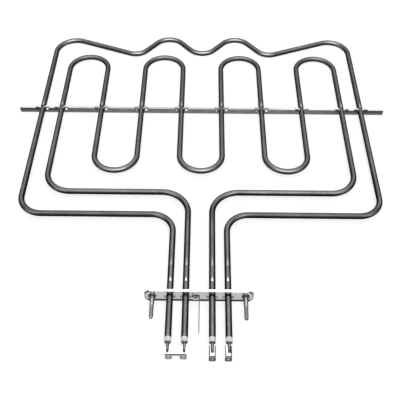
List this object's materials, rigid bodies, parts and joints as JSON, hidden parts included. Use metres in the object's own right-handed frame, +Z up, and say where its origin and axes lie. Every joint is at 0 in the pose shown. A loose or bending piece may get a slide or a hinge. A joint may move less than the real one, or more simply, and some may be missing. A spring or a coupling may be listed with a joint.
{
  "type": "tubular heating element",
  "caption": "Double-loop tubular heating element with a flange plate, mounting studs, push-on terminals and a support bar staked across its serpentine loops.",
  "frame": {"origin": "centre of the flange's mounting face, in the plane of the tubes' centre lines", "axes": "-Y is the outward normal of the mounting face, the way the studs and terminals point; +Y runs to the wavy far end of the loops; +X runs along the flange; +Z is up, square to the plane of the loops"},
  "size_m": [0.431, 0.4651, 0.0185],
  "materials": {
    "sheath_steel": "oxidised satin",
    "plate_steel": "semi-bright rolled sheet",
    "bar_steel": "rolled bar, darkened",
    "stud_steel": "bright plated",
    "terminal_steel": "plated sheet",
    "pin_steel": "drawn rod",
    "coil_alloy": "matt resistance alloy",
    "ceramic": "unglazed ceramic",
    "powder": "compacted magnesium oxide powder"
  },
  "bodies": {
    "root": {"outer_sheath": "sheath_steel", "inner_sheath": "sheath_steel", "outer_insulation": "powder", "inner_insulation": "powder", "outer_coil": "coil_alloy", "inner_coil": "coil_alloy", "outer_left_pin": "pin_steel", "inner_left_pin": "pin_steel", "inner_right_pin": "pin_steel", "outer_right_pin": "pin_steel", "outer_left_bead": "ceramic", "inner_left_bead": "ceramic", "inner_right_bead": "ceramic", "outer_right_bead": "ceramic", "flange_plate": "plate_steel", "stud_left": "stud_steel", "stud_right": "stud_steel", "earth_tab": "terminal_steel", "bridge_strap": "terminal_steel", "inner_right_terminal": "terminal_steel", "outer_right_terminal": "terminal_steel", "support_bar": "bar_steel"}
  },
  "joints": []
}
